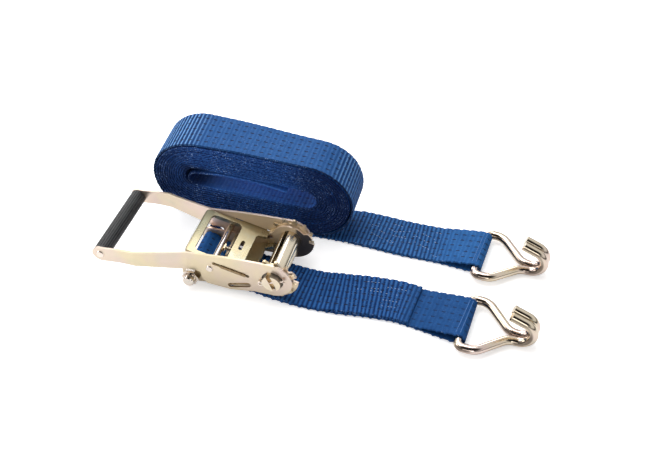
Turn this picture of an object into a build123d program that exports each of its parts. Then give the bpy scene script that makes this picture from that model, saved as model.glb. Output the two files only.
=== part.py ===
from build123d import *
import os
from math import sin, cos, radians, atan2, hypot, acos

os.makedirs("parts", exist_ok=True)

# Ratchet tie down for 50 mm webbing: a ratchet buckle with a long handle, a short
# sewn strap on its anchor bolt, and a separate long strap wound in a flat roll.
# Frame while drawing: the floor is Z = 0, the drum axis lies along Y at X = 0, Z = AXIS_Z,
# the handle grip points to -X and the straps run to +X. Near is -Y and far is +Y.
# The files are written with the drum axis at Z = 0.

# ---------------------------------------------------------------- shared dimensions
# Places given as pairs are (X, Z). Angles are in degrees from +X towards +Z.
AXIS_Z = 30.0
DRUM_AT = (0, AXIS_Z)

# plates, with Y measured from the middle
FRAME_Y = 27.0              # inner face of a frame plate
FRAME_T = 2.4
FRAME_OUT = FRAME_Y + FRAME_T
WHEEL_Y = 29.7              # inner face of a ratchet wheel
WHEEL_T = 2.6
HANDLE_Y = 32.6             # inner face of a handle plate at the drum
HANDLE_T = 2.2
HANDLE_OUT = HANDLE_Y + HANDLE_T
DRUM_BORE_R = 11.30         # bearing holes in frame and handle plates

# anchor bolt
BOLT_AT = (-88.5, 12.0)
BOLT_R = 6.0

# crossbar and grip of the handle
BAR_AT = (-66.5, 29.5)
GRIP_AT = (-180.0, 32.7)
ARM_Y = 45.6                # inner face of a handle arm at the grip
ARM_OUT = ARM_Y + HANDLE_T

# pawls: flat plates, each in a sloping plane through its place
PAWL_T = 3.0
HANDLE_PAWL_AT = (-43.6, 33.5)
HANDLE_PAWL_ANGLE = -13.9
FRAME_PAWL_AT = (-35.5, 13.9)
FRAME_PAWL_ANGLE = 16.0

# tie plate between the frame plates
TIE_X = -61.7               # left face
TIE_T = 2.0
TONGUE_Z = 16.0
TONGUE_H = 6.0

# webbing
WEB_W = 50.0
WEB_T = 2.3
WEB_HALF = WEB_W / 2 - 0.1
LOOP_GAP = 0.08             # between a webbing loop and the rod inside it

# hooks
WIRE_R = 4.6
HOOK_Z = 7.3                # height of the strap bar
SHORT_HOOK_AT = (190.5, -16.8, -5.0)    # bar centre X, Y and heading in plan
LONG_HOOK_AT = (192.3, 82.0, -6.0)


# ---------------------------------------------------------------- helpers
def polar(radius, angle):
    """(X, Z) of a point given from the drum axis"""
    return (radius * cos(radians(angle)), AXIS_Z + radius * sin(radians(angle)))


def write(builder, name):
    placed = builder.part.moved(Location((0, 0, -AXIS_Z)))
    placed.label = name
    export_step(placed, "parts/" + name + ".step")


def far_copy(near):
    with BuildPart() as far:
        add(near.part)
        mirror(about=Plane.XZ, mode=Mode.REPLACE)
    return far


def pawl_slot(place, angle, start, end):
    """location and length of a slot from start to end along a pawl line"""
    middle = (start + end) / 2
    x = place[0] + middle * cos(radians(angle))
    z = place[1] + middle * sin(radians(angle))
    return Location((x, z, 0), (0, 0, angle)), end - start


def pawl_plane(place, angle):
    """plane of a pawl plate: local x runs along its slope, local y along +Y"""
    return Plane(origin=(place[0], 0, place[1]),
                 x_dir=(cos(radians(angle)), 0, sin(radians(angle))),
                 z_dir=(-sin(radians(angle)), 0, cos(radians(angle))))


def both_sides(near_half):
    """outline from its near half, given in order, and the mirrored far half"""
    return near_half + [(x, -y) for x, y in reversed(near_half)]


# ---------------------------------------------------------------- frame plates
LOBE_R = 25.3               # round the drum
EAR_R = 11.5                # round the anchor bolt
EAR_LOW_X = -84.0           # where the ear meets the bottom edge
EAR_TOP_X = -84.5           # where the ear meets the top edge

# cam edge over the drum, radius and angle, from the closed-position notch at the
# left to the open-position notch at the right
CAM = [(23.6, 172.5), (20.0, 165.0), (19.3, 150.0), (18.6, 135.0), (17.8, 115.0),
       (17.0, 95.0), (16.6, 70.0), (16.6, 50.0), (16.9, 34.0)]
# closed-position notch, radius and angle, up to the start of the cam edge
CLOSED_NOTCH = [(19.9, 190), (19.9, 178.5), (23.5, 176.4), CAM[0]]
# step, lifting ramp and open-position notch, radius and angle
OPEN_NOTCH = [CAM[-1], (21.2, 30.0), (22.6, 20.0), (23.7, 10.5), (20.0, 8.2), (20.0, -2.6),
              (LOBE_R, -5.2)]


def ear_half_height(x):
    return (EAR_R ** 2 - (x - BOLT_AT[0]) ** 2) ** 0.5


def frame_outline():
    ear_low = (EAR_LOW_X, BOLT_AT[1] - ear_half_height(EAR_LOW_X))
    ear_top = (EAR_TOP_X, BOLT_AT[1] + ear_half_height(EAR_TOP_X))
    notch_foot = (-21.6, 25.2)
    lobe_end = polar(LOBE_R, -95.0)
    with BuildLine() as edge:
        ThreePointArc(ear_low, (BOLT_AT[0] - EAR_R, BOLT_AT[1]), ear_top)
        Polyline(ear_top, (-72.0, 22.6), (-60.0, 23.4), (-50.0, 25.6), (-29.0, 24.8), notch_foot)
        Polyline(notch_foot, *[polar(*point) for point in CLOSED_NOTCH])
        Spline(*[polar(*point) for point in CAM])
        Polyline(*[polar(*point) for point in OPEN_NOTCH])
        ThreePointArc(polar(*OPEN_NOTCH[-1]), polar(LOBE_R, -50.0), lobe_end)
        Polyline(lobe_end, (-14.0, 5.2), (-60.0, 5.4), (-72.0, 3.0), ear_low)
    return edge.line


frame_slot, frame_slot_length = pawl_slot(FRAME_PAWL_AT, FRAME_PAWL_ANGLE, -18.6, 20.2)

with BuildPart() as frame_side_near:
    with BuildSketch(Plane.XZ.offset(FRAME_Y)):
        with BuildLine():
            add(frame_outline())
        make_face()
        with Locations(DRUM_AT):
            Circle(DRUM_BORE_R, mode=Mode.SUBTRACT)
        with Locations(BOLT_AT):
            Circle(BOLT_R + 0.05, mode=Mode.SUBTRACT)
        with Locations(frame_slot):
            SlotOverall(frame_slot_length, PAWL_T + 0.4, mode=Mode.SUBTRACT)
        # seat for a tie plate tongue
        with Locations((TIE_X + TIE_T / 2, TONGUE_Z)):
            Rectangle(TIE_T + 0.1, TONGUE_H + 0.1, mode=Mode.SUBTRACT)
    extrude(amount=FRAME_T)
write(frame_side_near, "frame_side_near")
write(far_copy(frame_side_near), "frame_side_far")

# tie plate: keeps the frame plates apart and backs the frame pawl spring
with BuildPart() as frame_tie_plate:
    with BuildSketch(Plane.YZ.offset(TIE_X)):
        with Locations((0, 15.0)):
            Rectangle(2 * FRAME_Y - 0.2, 13.0)
        with Locations((0, TONGUE_Z)):
            Rectangle(2 * FRAME_OUT - 0.2, TONGUE_H)
    extrude(amount=TIE_T)
write(frame_tie_plate, "frame_tie_plate")

# ---------------------------------------------------------------- anchor bolt and nut
HEX_AF = 16.4               # across flats
HEAD_H = 7.5
NUT_H = 7.6
BOLT_END = 43.5             # near end of the shank, from the middle

with BuildPart() as anchor_bolt:
    with BuildSketch(Plane.XZ.offset(-FRAME_OUT - HEAD_H)):
        with Locations(BOLT_AT):
            RegularPolygon(HEX_AF / 2, 6, major_radius=False)
    extrude(amount=HEAD_H)
    with BuildSketch(Plane.XZ.offset(-FRAME_OUT)):
        with Locations(BOLT_AT):
            Circle(BOLT_R)
    extrude(amount=FRAME_OUT + BOLT_END)
    chamfer(anchor_bolt.edges().filter_by(GeomType.CIRCLE).sort_by(Axis.Y)[0], 1.0)
write(anchor_bolt, "anchor_bolt")

with BuildPart() as anchor_nut:
    with BuildSketch(Plane.XZ.offset(FRAME_OUT)):
        with Locations(BOLT_AT):
            RegularPolygon(HEX_AF / 2, 6, major_radius=False)
            Circle(BOLT_R + 0.02, mode=Mode.SUBTRACT)
    extrude(amount=NUT_H)
    # countersunk mouth towards the bolt end
    chamfer(anchor_nut.edges().filter_by(GeomType.CIRCLE).sort_by(Axis.Y)[0], 0.7)
write(anchor_nut, "anchor_nut")

# ---------------------------------------------------------------- drum bars
MANDREL_R = 11.25           # the two half-round bars together
MANDREL_GAP = 4.4           # slot between the bars
MANDREL_END = 39.6          # half length of the bars
SLOT_ANGLE = 111.5          # direction of the slot
SLOT_NORMAL = Vector(sin(radians(SLOT_ANGLE)), 0, -cos(radians(SLOT_ANGLE)))  # to the right
BAR_END_R = 9.5             # turned-down ends of the bars
PIN_Y = 37.2                # split pins, from the middle
TURNED_L = MANDREL_END - PIN_Y + 3.2
CUT_W, CUT_L = 30.0, 40.0   # rectangle that takes away all but one half-round


def half_cut(side, half_gap):
    """place of the rectangle that leaves the half-round on one side; +1 is the right"""
    shift = side * (half_gap - CUT_W / 2)
    return Location((shift * SLOT_NORMAL.X, AXIS_Z + shift * SLOT_NORMAL.Z, 0),
                    (0, 0, SLOT_ANGLE - 90))


def half_bar(side):
    with BuildPart() as bar:
        with BuildSketch(Plane.XZ.offset(-MANDREL_END)):
            with Locations(DRUM_AT):
                Circle(MANDREL_R)
            with Locations(half_cut(side, MANDREL_GAP / 2)):
                Rectangle(CUT_W, CUT_L, mode=Mode.SUBTRACT)
        extrude(amount=2 * MANDREL_END)
        fillet(bar.edges().filter_by(Axis.Y), 0.6)
        chamfer(bar.faces().sort_by(Axis.Y)[0].edges(), 0.5)
        chamfer(bar.faces().sort_by(Axis.Y)[-1].edges(), 0.5)
        # ends turned down; each cut runs from its far face towards -Y
        for far_face in (TURNED_L - MANDREL_END, MANDREL_END):
            with BuildSketch(Plane.XZ.offset(-far_face)):
                with Locations(DRUM_AT):
                    Circle(MANDREL_R + 1)
                    Circle(BAR_END_R, mode=Mode.SUBTRACT)
            extrude(amount=TURNED_L, mode=Mode.SUBTRACT)
        # cross holes for the split pins
        for y in (-PIN_Y, PIN_Y):
            with BuildSketch(Plane(origin=(0, y, AXIS_Z), x_dir=(0, 1, 0),
                                   z_dir=(SLOT_NORMAL.X, 0, SLOT_NORMAL.Z))):
                Circle(1.25)
            extrude(amount=15, both=True, mode=Mode.SUBTRACT)
    return bar


write(half_bar(1), "mandrel_half_right")
write(half_bar(-1), "mandrel_half_left")

# split pins through the bar ends: a shank, an eye at one end, spread legs at the other
with BuildPart() as split_pins:
    for y, flip in ((-PIN_Y, 1), (PIN_Y, -1)):
        pin_plane = Plane(origin=(0, y, AXIS_Z), x_dir=(0, 1, 0),
                          z_dir=(SLOT_NORMAL.X * flip, 0, SLOT_NORMAL.Z * flip))
        with BuildSketch(pin_plane.offset(-10.8)):
            Circle(1.15)
        extrude(amount=21.6)
        with Locations(pin_plane.offset(-12.8)):
            Torus(2.1, 0.95, rotation=(0, 90, 0))
        for lean in (24, -24):
            with Locations(pin_plane.offset(10.6) * Rotation(lean, 0, 0)):
                Cylinder(0.8, 4.2, align=(Align.CENTER, Align.CENTER, Align.MIN))
write(split_pins, "split_pins")

# ---------------------------------------------------------------- ratchet wheels
TEETH = 12
TIP_R = 24.0
ROOT_R = 19.0
STEEP_ANGLE = 175.0         # one steep tooth face, at the tip
# one tooth, radius and angle past its steep face: steep face, root, sloping back, tip land
TOOTH = [(TIP_R, 0.0), (ROOT_R + 0.4, 2.0), (ROOT_R, 3.2), (ROOT_R, 11.5),
         (ROOT_R + 0.9, 14.5), (TIP_R - 0.3, 23.5), (TIP_R, 25.0)]

wheel_outline = [polar(radius, STEEP_ANGLE + tooth * 360.0 / TEETH + angle)
                 for tooth in range(TEETH) for radius, angle in TOOTH]

with BuildPart() as ratchet_wheel_near:
    with BuildSketch(Plane.XZ.offset(WHEEL_Y)):
        with BuildLine():
            Polyline(*wheel_outline, close=True)
        make_face()
        # two half-round windows that key the bars, with a bridge between them
        for side in (1, -1):
            with BuildSketch(mode=Mode.PRIVATE) as window:
                with Locations(DRUM_AT):
                    Circle(MANDREL_R + 0.03)
                with Locations(half_cut(side, MANDREL_GAP / 2 - 0.05)):
                    Rectangle(CUT_W, CUT_L, mode=Mode.SUBTRACT)
            add(window.sketch, mode=Mode.SUBTRACT)
    extrude(amount=WHEEL_T)
write(ratchet_wheel_near, "ratchet_wheel_near")
write(far_copy(ratchet_wheel_near), "ratchet_wheel_far")

# ---------------------------------------------------------------- handle plates
HANDLE_LOBE_R = 20.4        # round the drum
GRIP_END_R = 8.7            # round the grip
RIVET_HOLE_R = 2.5
GRIP_ROD_R = 3.0
LOBE_START = 75.0           # angle where the top edge meets the lobe

# top edge from the grip to the lobe, X and Z
TOP_EDGE = [(-163.0, 42.8), (-141.0, 43.7), (-115.0, 44.6), (-90.0, 45.9), (-60.0, 48.5),
            (-30.0, 50.2), (-8.0, 50.6)]
# bottom edge under the pawls, from the lobe towards the arm, X and Z
BELLY = [(-14.0, 9.0), (-20.0, 9.4), (-26.0, 8.0), (-46.0, 4.9), (-64.0, 6.6), (-71.0, 7.4),
         (-75.6, 12.0), (-77.2, 21.8), (-82.0, 23.0)]
# bottom edge of the arm, from the belly to the grip, X and Z
ARM_EDGE = [BELLY[-1], (-100.0, 23.1), (-122.0, 24.4), (-145.0, 25.6), (-165.0, 25.4)]


def handle_outline():
    grip_x, grip_z = GRIP_AT
    grip_low = (grip_x + 1.0, grip_z - GRIP_END_R + 0.06)
    grip_top = (grip_x + 1.0, grip_z + GRIP_END_R - 0.06)
    lobe_top = polar(HANDLE_LOBE_R, LOBE_START)
    lobe_low = polar(HANDLE_LOBE_R + 0.6, -100.0)
    lobe_tangent = (sin(radians(LOBE_START)), -cos(radians(LOBE_START)))
    with BuildLine() as edge:
        ThreePointArc(grip_low, (grip_x - GRIP_END_R, grip_z), grip_top)
        Spline(grip_top, *TOP_EDGE, lobe_top, tangents=((1, 0), lobe_tangent))
        ThreePointArc(lobe_top, polar(HANDLE_LOBE_R, -12.0), lobe_low)
        Polyline(lobe_low, *BELLY)
        Spline(*ARM_EDGE, grip_low, tangents=((-1, 0), (-1, 0)))
    return edge.line


handle_slot, handle_slot_length = pawl_slot(HANDLE_PAWL_AT, HANDLE_PAWL_ANGLE, -20.0, 20.0)
# window round the ends of the frame pawl
pawl_window, pawl_window_length = pawl_slot(FRAME_PAWL_AT, FRAME_PAWL_ANGLE, -13.2, 12.6)

with BuildPart() as handle_side_near:
    # a block deep enough for the whole joggle
    with BuildSketch(Plane.XZ.offset(28.0)):
        with BuildLine():
            add(handle_outline())
        make_face()
        with Locations(DRUM_AT):
            Circle(DRUM_BORE_R, mode=Mode.SUBTRACT)
        with Locations(handle_slot):
            SlotOverall(handle_slot_length, PAWL_T + 1.0, mode=Mode.SUBTRACT)
        with Locations(pawl_window):
            SlotOverall(pawl_window_length, 6.2, mode=Mode.SUBTRACT)
        with Locations(BAR_AT):
            Circle(RIVET_HOLE_R, mode=Mode.SUBTRACT)
        with Locations(GRIP_AT):
            Circle(GRIP_ROD_R + 0.02, mode=Mode.SUBTRACT)
    extrude(amount=22.0)
    # the arm is joggled outwards between the drum and the grip
    with BuildSketch(Plane.XY) as band:
        with BuildLine():
            Polyline((30, -HANDLE_Y), (-90, -HANDLE_Y), (-142, -ARM_Y), (-200, -ARM_Y),
                     (-200, -ARM_OUT), (-142.4, -ARM_OUT), (-90.4, -HANDLE_OUT),
                     (30, -HANDLE_OUT), close=True)
        make_face()
        fillet([vertex for vertex in band.vertices() if -150 < vertex.X < -85], 8.0)
    extrude(amount=60, mode=Mode.INTERSECT)
write(handle_side_near, "handle_side_near")
write(far_copy(handle_side_near), "handle_side_far")

# ---------------------------------------------------------------- crossbar and grip
# crossbar riveted between the handle plates: shouldered rod with rivet heads
with BuildPart() as handle_crossbar:
    for radius, half_length in ((3.4, HANDLE_Y - 0.02), (RIVET_HOLE_R - 0.02, HANDLE_OUT)):
        with BuildSketch(Plane.XZ.offset(-half_length)):
            with Locations(BAR_AT):
                Circle(radius)
        extrude(amount=2 * half_length)
    for side in (-1, 1):
        with BuildSketch(Plane.XZ.offset(side * HANDLE_OUT)):
            with Locations(BAR_AT):
                Circle(4.0)
        extrude(amount=side * 1.3, taper=28)
write(handle_crossbar, "handle_crossbar")

GRIP_R = 8.3
GRIP_HALF = ARM_Y - 0.1
GROOVES = 20
GROOVE_HALF = ARM_Y - 2.6   # the grooves stop short of the grip ends
ROD_HALF = ARM_OUT + 0.05

# rod through the grip, with a head outside each arm
with BuildPart() as grip_rod:
    with BuildSketch(Plane.XZ.offset(-ROD_HALF)):
        with Locations(GRIP_AT):
            Circle(GRIP_ROD_R)
    extrude(amount=2 * ROD_HALF)
    for side in (-1, 1):
        with BuildSketch(Plane.XZ.offset(side * (ARM_OUT + 0.01))):
            with Locations(GRIP_AT):
                Circle(4.4)
        extrude(amount=side * 1.1, taper=30)
write(grip_rod, "grip_rod")

# moulded grip: a tube with rounded ends and fine lengthwise grooves
with BuildPart() as handle_grip:
    with BuildSketch(Plane.XZ.offset(-GRIP_HALF)):
        with Locations(GRIP_AT):
            Circle(GRIP_R)
            Circle(GRIP_ROD_R + 0.05, mode=Mode.SUBTRACT)
    extrude(amount=2 * GRIP_HALF)
    grip_circles = handle_grip.edges().filter_by(GeomType.CIRCLE)
    fillet(grip_circles.filter_by(lambda edge: edge.radius > 5), 1.0)
    with BuildSketch(Plane.XZ.offset(-GROOVE_HALF)):
        with Locations(GRIP_AT):
            with PolarLocations(GRIP_R + 0.25, GROOVES):
                Circle(0.75)
    extrude(amount=2 * GROOVE_HALF, mode=Mode.SUBTRACT)
write(handle_grip, "handle_grip")

# ---------------------------------------------------------------- handle pawl
# Pawl outlines are near halves in the plane of the plate: x along the slope, y.
HP_NOSE = 19.5              # tip of the noses, just clear of the tooth tips
HP_HALF = 32.3              # half width between the handle plates
HP_EAR = 35.9               # half width across the ears in the handle slots
HP_PULL = 31.3              # half width of the finger pull
HP_MOUTH = 21.0             # half width between the noses, at the inner corners
HP_OUTLINE = [(-48.4, -HP_PULL), (-12.0, -HP_HALF), (-10.6, -HP_HALF), (-10.6, -HP_EAR),
              (15.8, -HP_EAR), (15.8, -HP_HALF), (HP_NOSE, -HP_HALF), (HP_NOSE, -22.6),
              (8.6, -HP_MOUTH)]
SPRING_Y = -3.0             # handle pawl spring, from the middle

# section of the finger pull: x along the slope and height off the middle of the plate
PULL_OUTER = [(-48.3, 1.5), (-49.9, 1.2), (-51.0, 0.1), (-51.3, -1.6), (-51.1, -3.6)]
PULL_INNER = [(-49.4, -3.4), (-49.2, -2.2), (-48.9, -1.7), (-48.3, -1.5)]

handle_plane = pawl_plane(HANDLE_PAWL_AT, HANDLE_PAWL_ANGLE)
handle_under = handle_plane.offset(-PAWL_T / 2)


def on_handle_section(points):
    """(X, Z) of points in the section of the handle pawl"""
    placed = [handle_plane.from_local_coords((x, 0, height)) for x, height in points]
    return [(point.X, point.Z) for point in placed]


pull_outer = on_handle_section(PULL_OUTER)
pull_inner = on_handle_section(PULL_INNER)

with BuildPart() as handle_pawl:
    with BuildSketch(handle_under) as plate:
        with BuildLine():
            Polyline(*both_sides(HP_OUTLINE), close=True)
        make_face()
        fillet([vertex for vertex in plate.vertices()
                if abs(abs(vertex.Y) - HP_MOUTH) < 0.1], 3.5)
        # window over the crossbar, then the spring slot
        with Locations((-25.6, 0)):
            RectangleRounded(33.6, 54.0, 5.0, mode=Mode.SUBTRACT)
        with Locations((-0.9, 0.0)):
            SlotOverall(13.6, 4.0, rotation=90, mode=Mode.SUBTRACT)
    extrude(amount=PAWL_T)
    # finger pull: the edge rolls over and down
    with BuildSketch(Plane.XZ.offset(-HP_PULL)):
        with BuildLine():
            Spline(*pull_outer)
            Line(pull_outer[-1], pull_inner[0])
            Spline(*pull_inner)
            Line(pull_inner[-1], pull_outer[0])
        make_face()
    extrude(amount=2 * HP_PULL)
    # corners of the pull cut round, seen from above
    with BuildSketch(handle_plane.offset(-6.0)):
        with Locations((-46.0, 0)):
            Rectangle(20.0, 80.0)
        with Locations((-31.3, 0)):
            RectangleRounded(40.0, 2 * HP_PULL, 4.6, mode=Mode.SUBTRACT)
    extrude(amount=12.0, mode=Mode.SUBTRACT)
    # stiffening lips turned down along both rails
    for y in (-29.4, 29.4):
        with BuildSketch(handle_under):
            with Locations((-27.0, y)):
                Rectangle(27.0, 2.0)
        extrude(amount=-3.4)
    # tab under the strip that holds the spring
    with BuildSketch(handle_under):
        with Locations((4.8, SPRING_Y)):
            Rectangle(2.0, 9.0)
    extrude(amount=-8.2)
write(handle_pawl, "handle_pawl")

# ---------------------------------------------------------------- frame pawl
FP_NOSE = 18.5              # tip of the noses
FP_HALF = 32.3              # half width
FP_BACK = -15.4             # back edge
FP_OUTLINE = [(FP_BACK, -24.0), (-13.0, -26.6), (-13.0, -FP_HALF), (FP_NOSE, -FP_HALF),
              (FP_NOSE, -21.0), (9.5, -19.0)]

frame_plane = pawl_plane(FRAME_PAWL_AT, FRAME_PAWL_ANGLE)
pawl_back = frame_plane.from_local_coords((FP_BACK, 0, 0))

with BuildPart() as frame_pawl:
    with BuildSketch(frame_plane.offset(-PAWL_T / 2)):
        with BuildLine():
            Polyline(*both_sides(FP_OUTLINE), close=True)
        make_face()
    extrude(amount=PAWL_T)
    # seat for the spring, a round boss on the back edge
    with BuildSketch(Plane(origin=pawl_back, x_dir=(0, 1, 0), z_dir=frame_plane.x_dir * -1)):
        Circle(1.4)
    extrude(amount=2.2)
write(frame_pawl, "frame_pawl")

# ---------------------------------------------------------------- pawl springs
COIL_R = 2.1                # to the wire centre
COIL_WIRE_R = 0.4
SPRING_HEIGHT = -7.0        # handle pawl spring, off the middle of the pawl plate
SEAT_X = -17.75             # back of the spring seat, along the handle pawl


def coil_spring(origin, along, length, turns):
    with BuildPart() as spring:
        with BuildLine() as path:
            Helix(pitch=length / turns, height=length, radius=COIL_R,
                  center=origin, direction=along)
        with BuildSketch(Plane(origin=path.line @ 0, z_dir=path.line % 0)):
            Circle(COIL_WIRE_R)
        sweep(is_frenet=True)
    return spring


def seat_plane(height):
    return Plane(origin=handle_plane.from_local_coords((SEAT_X, SPRING_Y, height)),
                 x_dir=(0, 1, 0), z_dir=handle_plane.x_dir)


# from the seat on the crossbar to the tab under the pawl strip
spring_start = handle_plane.from_local_coords((-15.7, SPRING_Y, SPRING_HEIGHT))
write(coil_spring(spring_start, handle_plane.x_dir, 18.7, 8), "handle_pawl_spring")

# spring seat: a small plate against the crossbar with a guide pin inside the spring
with BuildPart() as handle_spring_seat:
    with BuildSketch(seat_plane(SPRING_HEIGHT - 0.6)):
        RectangleRounded(8.0, 6.0, 1.2)
    extrude(amount=1.4)
    with BuildSketch(seat_plane(SPRING_HEIGHT)):
        Circle(1.25)
    extrude(amount=13.0)
write(handle_spring_seat, "handle_spring_seat")

# between the tie plate and the back of the frame pawl
back_gap = (pawl_back.X - (TIE_X + TIE_T)) / cos(radians(FRAME_PAWL_ANGLE))
spring_start = frame_plane.from_local_coords((FP_BACK - back_gap + 1.35, 0, 0))
write(coil_spring(spring_start, frame_plane.x_dir, back_gap - 1.95, 4), "frame_pawl_spring")

# ---------------------------------------------------------------- double-J hooks
# Local frame of a hook: x from the strap bar to the mouth, y along the bar, z up.
HOOK_HALF = 32.3            # half width between wire centres at the strap
CORNER_R = 6.3              # on the wire centre line
BAR_HALF = HOOK_HALF - CORNER_R
MOUTH_X = 52.0              # from the strap bar to the centre of the mouth
MOUTH_R = 14.2              # on the wire centre line
MOUTH_END = 70              # the mouth turns this far past level, then runs straight
TIP_L = 15.0
MOUTH_Y = WIRE_R + 0.12     # the two legs lie side by side at the mouth
LOW_Z = WIRE_R + 0.05       # wire centre at the bottom of the mouth
S_START = CORNER_R + 4.0    # S bend, from here
S_END = MOUTH_X - 0.8       # to here
S_BEND = radians(46)        # steepest slope of the S bend


def leg_path(side, place):
    """centre line of one leg, from the end of the strap bar to its tip: corner, S bend,
    mouth and tip, all tangent; each piece is the two or three points it runs through"""
    drop = hypot(HOOK_HALF - MOUTH_Y, HOOK_Z - LOW_Z)
    fall_y = -(HOOK_HALF - MOUTH_Y) / drop
    fall_z = -(HOOK_Z - LOW_Z) / drop

    def at(x, y, z):
        return place((x, side * y, z))

    def s_point(x, fall):
        """point of the S bend, in the plane of x and the falling direction"""
        return at(x, HOOK_HALF + fall_y * fall, HOOK_Z + fall_z * fall)

    def mouth(angle):
        return at(MOUTH_X + MOUTH_R * cos(radians(angle)), MOUTH_Y,
                  LOW_Z + MOUTH_R + MOUTH_R * sin(radians(angle)))

    # S bend: two equal arcs with a straight between them
    sin_b, cos_b = sin(S_BEND), cos(S_BEND)
    radius = ((S_END - S_START - drop * cos_b / sin_b)
              / (2 * sin_b - 2 * (1 - cos_b) * cos_b / sin_b))
    arc_x, arc_fall = radius * sin_b, radius * (1 - cos_b)
    half_x, half_fall = radius * sin(S_BEND / 2), radius * (1 - cos(S_BEND / 2))
    straight = (drop - 2 * arc_fall) / sin_b
    s_from, s_to = s_point(S_START, 0), s_point(S_END, drop)
    straight_from = s_point(S_START + arc_x, arc_fall)
    straight_to = s_point(S_START + arc_x + straight * cos_b, arc_fall + straight * sin_b)

    turned = radians(MOUTH_END)
    tip = at(MOUTH_X + MOUTH_R * cos(turned) - TIP_L * sin(turned), MOUTH_Y,
             LOW_Z + MOUTH_R + MOUTH_R * sin(turned) + TIP_L * cos(turned))
    corner_mid = at(CORNER_R * (1 - cos(radians(45))), BAR_HALF + CORNER_R * sin(radians(45)),
                    HOOK_Z)
    corner_end = at(CORNER_R, HOOK_HALF, HOOK_Z)
    return [
        (at(0, BAR_HALF, HOOK_Z), corner_mid, corner_end),
        (corner_end, s_from),
        (s_from, s_point(S_START + half_x, half_fall), straight_from),
        (straight_from, straight_to),
        (straight_to, s_point(S_END - half_x, drop - half_fall), s_to),
        (s_to, mouth(-90)),
        (mouth(-90), mouth(-10), mouth(MOUTH_END)),
        (mouth(MOUTH_END), tip),
    ]


def double_hook(x, y, heading):
    c, s = cos(radians(heading)), sin(radians(heading))

    def place(p):
        return Vector(x + c * p[0] - s * p[1], y + s * p[0] + c * p[1], p[2])

    with BuildPart() as hook:
        with BuildSketch(Plane(origin=place((0, -BAR_HALF, HOOK_Z)),
                               x_dir=(c, s, 0), z_dir=(-s, c, 0))):
            Circle(WIRE_R)
        extrude(amount=2 * BAR_HALF)
        for side in (1, -1):
            with BuildLine() as path:
                for points in leg_path(side, place):
                    if len(points) == 2:
                        Line(*points)
                    else:
                        ThreePointArc(*points)
            with BuildSketch(Plane(origin=place((0, side * BAR_HALF, HOOK_Z)),
                                   x_dir=(c, s, 0), z_dir=(-s * side, c * side, 0))):
                Circle(WIRE_R)
            sweep(path=path.wires()[0])
    return hook


write(double_hook(*SHORT_HOOK_AT), "short_hook")
write(double_hook(*LONG_HOOK_AT), "long_hook")


# ---------------------------------------------------------------- webbing pieces
def flat_strap(centre_line, base, thickness):
    """strap lying flat at height base along a centre line in plan"""
    near = [(x, y - WEB_HALF) for x, y in centre_line]
    far = [(x, y + WEB_HALF) for x, y in reversed(centre_line)]
    with BuildPart() as strap:
        with BuildSketch(Plane.XY.offset(base)):
            with BuildLine():
                Spline(*near)
                Line(near[-1], far[0])
                Spline(*far)
                Line(far[-1], near[0])
            make_face()
        extrude(amount=thickness)
    return strap.part


def tangent_point(centre, radius, point, turn):
    """where a line from point touches a circle; turn +1 is anticlockwise of point, -1 clockwise"""
    dx, dz = point[0] - centre[0], point[1] - centre[1]
    angle = atan2(dz, dx) + turn * acos(radius / hypot(dx, dz))
    return (centre[0] + radius * cos(angle), centre[1] + radius * sin(angle))


def rod_loop(plane, centre, rod_r, corners, turn, depth):
    """webbing round a rod, closing on the strap at corners, which are given from its top down"""
    outer_r = rod_r + LOOP_GAP + WEB_T
    with BuildPart() as loop:
        with BuildSketch(plane):
            with Locations(centre):
                Circle(outer_r)
            with BuildLine():
                Polyline(centre, tangent_point(centre, outer_r, corners[0], turn), *corners,
                         tangent_point(centre, outer_r, corners[-1], -turn), close=True)
            make_face()
            with Locations(centre):
                Circle(rod_r + LOOP_GAP, mode=Mode.SUBTRACT)
        extrude(amount=depth)
    return loop.part


def hook_loop(x, y, heading, reach, top):
    """loop round the strap bar of a hook, flattening into the strap at reach behind it"""
    c, s = cos(radians(heading)), sin(radians(heading))
    start = 1.1 - WEB_HALF      # the webbing sits a little to the far side of the bar
    plane = Plane(origin=(x - s * start, y + c * start, 0), x_dir=(c, s, 0), z_dir=(s, -c, 0))
    return rod_loop(plane, (0, HOOK_Z), WIRE_R, [(-reach, top), (-reach, 0.0)], -1,
                    -2 * WEB_HALF)


# ---------------------------------------------------------------- short webbing
# centre line in plan, X and Y, from under the drum to the hook
SHORT_LINE = [(-62, 0.0), (-45, -0.6), (-22, -3.6), (5, -8.2), (32, -10.4), (60, -9.6),
              (95, -5.4), (128, -4.4), (150, -10.0)]
SEWN_X = 60                 # start of the sewn area, which has a third ply
sewn_line = [point for point in SHORT_LINE if point[0] >= SEWN_X]

short_pieces = [
    flat_strap(SHORT_LINE, 0, 2 * WEB_T),
    flat_strap(sewn_line, 2 * WEB_T, WEB_T),
    rod_loop(Plane.XZ.offset(-WEB_HALF), BOLT_AT, BOLT_R,
             [(-61.0, 2 * WEB_T), (-61.0, 0.0), (-66.0, 0.0)], 1, 2 * WEB_HALF),
    hook_loop(*SHORT_HOOK_AT, reach=42.0, top=3 * WEB_T),
]
with BuildPart() as short_webbing:
    for piece in short_pieces:
        add(piece)
write(short_webbing, "short_webbing")

# ---------------------------------------------------------------- long webbing
# the flat roll standing on its outer turn, and the tail to the hook
ROLL_Y = 66.5                               # near face of the roll
LEFT_X, LEFT_R = -116.0, 51.5               # left end, centre and radius
RIGHT_X, RIGHT_R = 6.5, 48.0                # right end, centre and radius
CORE = Location((-57.0, 54.5, 0), (0, 0, -2.8))

# centre line of the tail in plan, X and Y
LONG_LINE = [(-110, 91.6), (-20, 91.6), (20, 91.5), (60, 91.0), (105, 88.4), (150, 88.2)]

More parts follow.
